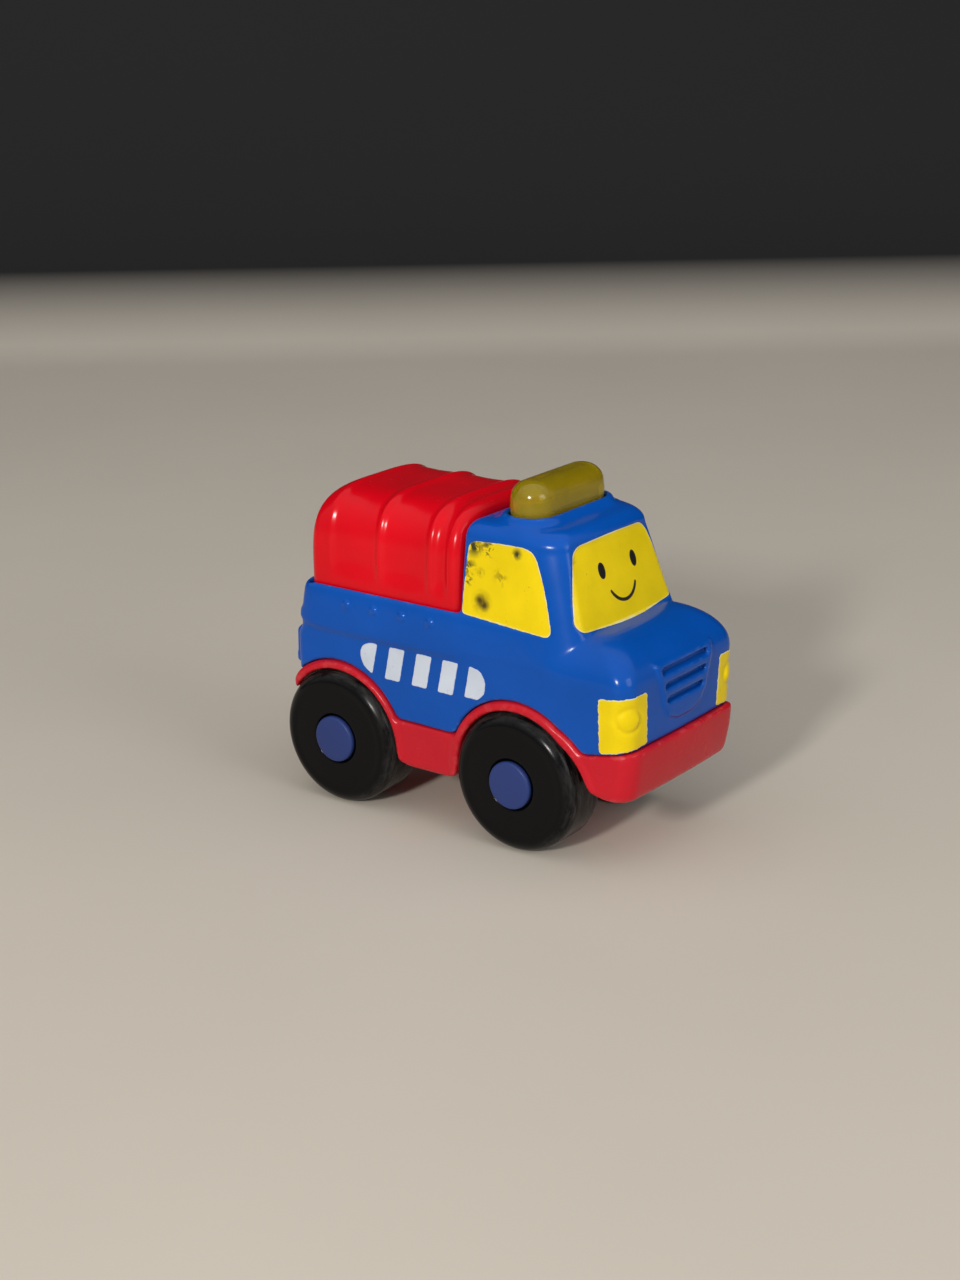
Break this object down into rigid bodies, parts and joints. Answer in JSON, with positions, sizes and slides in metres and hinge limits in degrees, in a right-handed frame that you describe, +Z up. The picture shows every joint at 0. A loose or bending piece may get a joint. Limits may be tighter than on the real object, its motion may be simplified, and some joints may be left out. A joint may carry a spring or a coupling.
{
  "type": "toy car",
  "caption": "Chunky push-along toy truck with a cab, a ribbed load cover, free-rolling wheels on steel axles and a press-to-light roof beacon.",
  "frame": {"origin": "on the ground, in the middle of the car's length and width", "axes": "+X towards the front bumper, +Y to the car's left, +Z up"},
  "size_m": [0.103, 0.0526, 0.087],
  "materials": {
    "body_blue": "glossy moulded plastic, lightly worn",
    "cover_red": "glossy moulded plastic",
    "chassis_red": "satin-gloss moulded plastic",
    "wheel_black": "satin-gloss moulded plastic with a scuffed tread",
    "hub_blue": "satin moulded plastic",
    "beacon_amber": "clear amber moulded plastic",
    "paint_yellow": "sprayed yellow paint with a pale edge, scuffed",
    "print_white": "pad-printed white ink",
    "print_black": "pad-printed black ink",
    "steel": "drawn steel",
    "board_green": "solder-masked board",
    "switch_black": "moulded plastic",
    "plunger_white": "moulded plastic",
    "led_clear": "clear epoxy",
    "cell_steel": "nickel-plated steel"
  },
  "bodies": {
    "body": {"body_shell": "body_blue", "canopy_cover": "cover_red", "chassis": "chassis_red", "circuit_board": "board_green", "switch_housing": "switch_black", "lamp_led": "led_clear", "cell_clip": "steel", "button_cell_1": "cell_steel", "button_cell_2": "cell_steel", "chassis_screw_1": "steel", "chassis_screw_2": "steel", "chassis_screw_3": "steel", "chassis_screw_4": "steel", "canopy_screw_1": "steel", "board_screw_1": "steel", "canopy_screw_2": "steel", "board_screw_2": "steel"},
    "front_wheels": {"front_axle": "steel", "wheel_front_left": "wheel_black", "wheel_front_right": "wheel_black", "hub_cap_front_left": "hub_blue", "hub_cap_front_right": "hub_blue"},
    "rear_wheels": {"rear_axle": "steel", "wheel_rear_left": "wheel_black", "wheel_rear_right": "wheel_black", "hub_cap_rear_left": "hub_blue", "hub_cap_rear_right": "hub_blue"},
    "beacon": {"beacon_button": "beacon_amber", "switch_plunger": "plunger_white"}
  },
  "joints": [
    {"name": "front_axle_spin", "type": "hinge", "parent": "body", "child": "front_wheels", "pos_m": [0.0189, 0, 0.017], "axis": [0, 1, 0], "continuous": true},
    {"name": "rear_axle_spin", "type": "hinge", "parent": "body", "child": "rear_wheels", "pos_m": [-0.0345, 0, 0.017], "axis": [0, 1, 0], "continuous": true},
    {"name": "beacon_press", "type": "slide", "parent": "body", "child": "beacon", "axis": [0, 0, -1], "range_m": [0, 0.0015], "stiffness_N_per_m": 250, "springref_m": -0.001}
  ]
}
